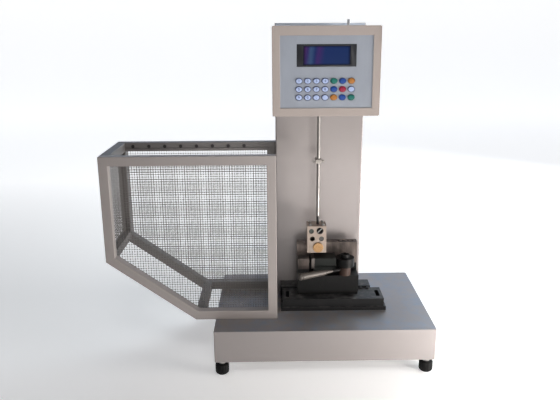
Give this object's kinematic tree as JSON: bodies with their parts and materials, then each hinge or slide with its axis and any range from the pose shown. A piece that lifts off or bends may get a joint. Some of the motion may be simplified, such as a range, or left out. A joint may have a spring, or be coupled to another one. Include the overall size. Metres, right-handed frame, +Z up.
{
  "type": "pendulum impact tester",
  "caption": "Bench pendulum impact tester with a hammer on a swinging rod, a specimen vise, a control box with keys and a wire mesh guard at the left.",
  "frame": {"origin": "middle of the machine's outline seen from above, at the underside of the feet, on the bench", "axes": "+Z up, +Y towards the back of the machine, +X to the machine's right as seen from its front"},
  "size_m": [0.639, 0.29, 0.672],
  "materials": {
    "silver_paint": "satin silver enamel",
    "guard_paint": "satin grey enamel",
    "guard_paint_dark": "satin blue grey enamel",
    "box_paint": "satin beige enamel",
    "panel_print": "matt printed film in pale blue",
    "window_pane": "dark tinted pane",
    "display_blue": "backlit blue display",
    "key_white": "white key with a blue rim",
    "key_green": "green key",
    "key_blue": "blue key",
    "key_orange": "orange key",
    "key_red": "red key",
    "black_plastic": "black moulding",
    "foot_rubber": "black rubber",
    "bare_aluminium": "turned aluminium",
    "bright_steel": "machined steel",
    "polished_rod": "polished steel",
    "hammer_metal": "ground steel",
    "lever_steel": "machined steel",
    "weight_brass": "turned brass",
    "black_oxide": "blackened steel",
    "vise_black": "black enamel",
    "wire_mesh": "drawn wire"
  },
  "bodies": {
    "frame": {"base_housing": "silver_paint", "column_shell": "silver_paint", "rear_cover": "silver_paint", "box_bracket": "silver_paint", "guard_front": "guard_paint", "guard_rear": "guard_paint_dark", "guard_cross_bars": "guard_paint_dark", "cable_gland": "black_plastic", "encoder": "black_plastic", "bearing_housing": "bare_aluminium", "bearings": "bright_steel", "box_shell": "box_paint", "front_panel": "panel_print", "display_window": "window_pane", "lcd_module": "display_blue", "vise_base": "vise_black", "vise_body": "vise_black", "mesh_front": "wire_mesh", "mesh_rear": "wire_mesh", "mesh_side": "wire_mesh", "cap_screws": "black_oxide", "cover_screws": "bright_steel"},
    "pendulum": {"pendulum_shaft": "bright_steel", "pendulum_hub": "bright_steel", "pendulum_rod": "polished_rod", "catch_bar": "bright_steel", "rod_stud": "black_oxide", "hammer_block": "hammer_metal", "hammer_screws": "bright_steel", "hammer_weight": "weight_brass"},
    "latch": {"release_latch": "bright_steel"},
    "jaw": {"moving_jaw": "vise_black", "jaw_plate": "bright_steel"},
    "lever": {"clamp_cam": "black_oxide", "clamp_lever": "lever_steel"},
    "foot_fl": {"foot_fl": "foot_rubber"},
    "foot_fr": {"foot_fr": "foot_rubber"},
    "foot_rl": {"foot_rl": "foot_rubber"},
    "foot_rr": {"foot_rr": "foot_rubber"},
    "key_11": {"key_11": "key_white"},
    "key_12": {"key_12": "key_white"},
    "key_13": {"key_13": "key_white"},
    "key_14": {"key_14": "key_white"},
    "key_15": {"key_15": "key_green"},
    "key_16": {"key_16": "key_blue"},
    "key_17": {"key_17": "key_orange"},
    "key_21": {"key_21": "key_white"},
    "key_22": {"key_22": "key_white"},
    "key_23": {"key_23": "key_white"},
    "key_24": {"key_24": "key_white"},
    "key_25": {"key_25": "key_blue"},
    "key_26": {"key_26": "key_red"},
    "key_27": {"key_27": "key_white"},
    "key_31": {"key_31": "key_white"},
    "key_32": {"key_32": "key_white"},
    "key_33": {"key_33": "key_white"},
    "key_34": {"key_34": "key_white"},
    "key_35": {"key_35": "key_orange"},
    "key_36": {"key_36": "key_blue"},
    "key_37": {"key_37": "key_green"}
  },
  "joints": [
    {"name": "pendulum_swing", "type": "hinge", "parent": "frame", "child": "pendulum", "pos_m": [0.0965, -0.023, 0.541], "axis": [0, -1, 0], "range_deg": [-150, 160]},
    {"name": "latch_tilt", "type": "hinge", "parent": "frame", "child": "latch", "pos_m": [0.154, 0.005, 0.585], "axis": [1, 0, 0], "range_deg": [0, 10]},
    {"name": "lever_turn", "type": "hinge", "parent": "frame", "child": "lever", "pos_m": [0.1535, -0.027, 0.175], "axis": [0, 0, 1], "range_deg": [0, 70]},
    {"name": "jaw_slide", "type": "slide", "parent": "frame", "child": "jaw", "axis": [-1, 0, 0], "range_m": [0, 0.0019]},
    {"name": "foot_fl_turn", "type": "hinge", "parent": "frame", "child": "foot_fl", "pos_m": [-0.097, -0.13, 0.015], "axis": [0, 0, 1], "continuous": true},
    {"name": "foot_fr_turn", "type": "hinge", "parent": "frame", "child": "foot_fr", "pos_m": [0.306, -0.13, 0.015], "axis": [0, 0, 1], "continuous": true},
    {"name": "foot_rl_turn", "type": "hinge", "parent": "frame", "child": "foot_rl", "pos_m": [-0.097, 0.13, 0.015], "axis": [0, 0, 1], "continuous": true},
    {"name": "foot_rr_turn", "type": "hinge", "parent": "frame", "child": "foot_rr", "pos_m": [0.306, 0.13, 0.015], "axis": [0, 0, 1], "continuous": true},
    {"name": "key_11_press", "type": "slide", "parent": "frame", "child": "key_11", "axis": [0, 1, 0], "range_m": [0, 0.0005], "stiffness_N_per_m": 800},
    {"name": "key_12_press", "type": "slide", "parent": "frame", "child": "key_12", "axis": [0, 1, 0], "range_m": [0, 0.0005], "stiffness_N_per_m": 800},
    {"name": "key_13_press", "type": "slide", "parent": "frame", "child": "key_13", "axis": [0, 1, 0], "range_m": [0, 0.0005], "stiffness_N_per_m": 800},
    {"name": "key_14_press", "type": "slide", "parent": "frame", "child": "key_14", "axis": [0, 1, 0], "range_m": [0, 0.0005], "stiffness_N_per_m": 800},
    {"name": "key_15_press", "type": "slide", "parent": "frame", "child": "key_15", "axis": [0, 1, 0], "range_m": [0, 0.0005], "stiffness_N_per_m": 800},
    {"name": "key_16_press", "type": "slide", "parent": "frame", "child": "key_16", "axis": [0, 1, 0], "range_m": [0, 0.0005], "stiffness_N_per_m": 800},
    {"name": "key_17_press", "type": "slide", "parent": "frame", "child": "key_17", "axis": [0, 1, 0], "range_m": [0, 0.0005], "stiffness_N_per_m": 800},
    {"name": "key_21_press", "type": "slide", "parent": "frame", "child": "key_21", "axis": [0, 1, 0], "range_m": [0, 0.0005], "stiffness_N_per_m": 800},
    {"name": "key_22_press", "type": "slide", "parent": "frame", "child": "key_22", "axis": [0, 1, 0], "range_m": [0, 0.0005], "stiffness_N_per_m": 800},
    {"name": "key_23_press", "type": "slide", "parent": "frame", "child": "key_23", "axis": [0, 1, 0], "range_m": [0, 0.0005], "stiffness_N_per_m": 800},
    {"name": "key_24_press", "type": "slide", "parent": "frame", "child": "key_24", "axis": [0, 1, 0], "range_m": [0, 0.0005], "stiffness_N_per_m": 800},
    {"name": "key_25_press", "type": "slide", "parent": "frame", "child": "key_25", "axis": [0, 1, 0], "range_m": [0, 0.0005], "stiffness_N_per_m": 800},
    {"name": "key_26_press", "type": "slide", "parent": "frame", "child": "key_26", "axis": [0, 1, 0], "range_m": [0, 0.0005], "stiffness_N_per_m": 800},
    {"name": "key_27_press", "type": "slide", "parent": "frame", "child": "key_27", "axis": [0, 1, 0], "range_m": [0, 0.0005], "stiffness_N_per_m": 800},
    {"name": "key_31_press", "type": "slide", "parent": "frame", "child": "key_31", "axis": [0, 1, 0], "range_m": [0, 0.0005], "stiffness_N_per_m": 800},
    {"name": "key_32_press", "type": "slide", "parent": "frame", "child": "key_32", "axis": [0, 1, 0], "range_m": [0, 0.0005], "stiffness_N_per_m": 800},
    {"name": "key_33_press", "type": "slide", "parent": "frame", "child": "key_33", "axis": [0, 1, 0], "range_m": [0, 0.0005], "stiffness_N_per_m": 800},
    {"name": "key_34_press", "type": "slide", "parent": "frame", "child": "key_34", "axis": [0, 1, 0], "range_m": [0, 0.0005], "stiffness_N_per_m": 800},
    {"name": "key_35_press", "type": "slide", "parent": "frame", "child": "key_35", "axis": [0, 1, 0], "range_m": [0, 0.0005], "stiffness_N_per_m": 800},
    {"name": "key_36_press", "type": "slide", "parent": "frame", "child": "key_36", "axis": [0, 1, 0], "range_m": [0, 0.0005], "stiffness_N_per_m": 800},
    {"name": "key_37_press", "type": "slide", "parent": "frame", "child": "key_37", "axis": [0, 1, 0], "range_m": [0, 0.0005], "stiffness_N_per_m": 800}
  ],
  "couplings": [
    {"joint": "jaw_slide", "follows": "lever_turn", "m_per_rad": 0.001539}
  ]
}
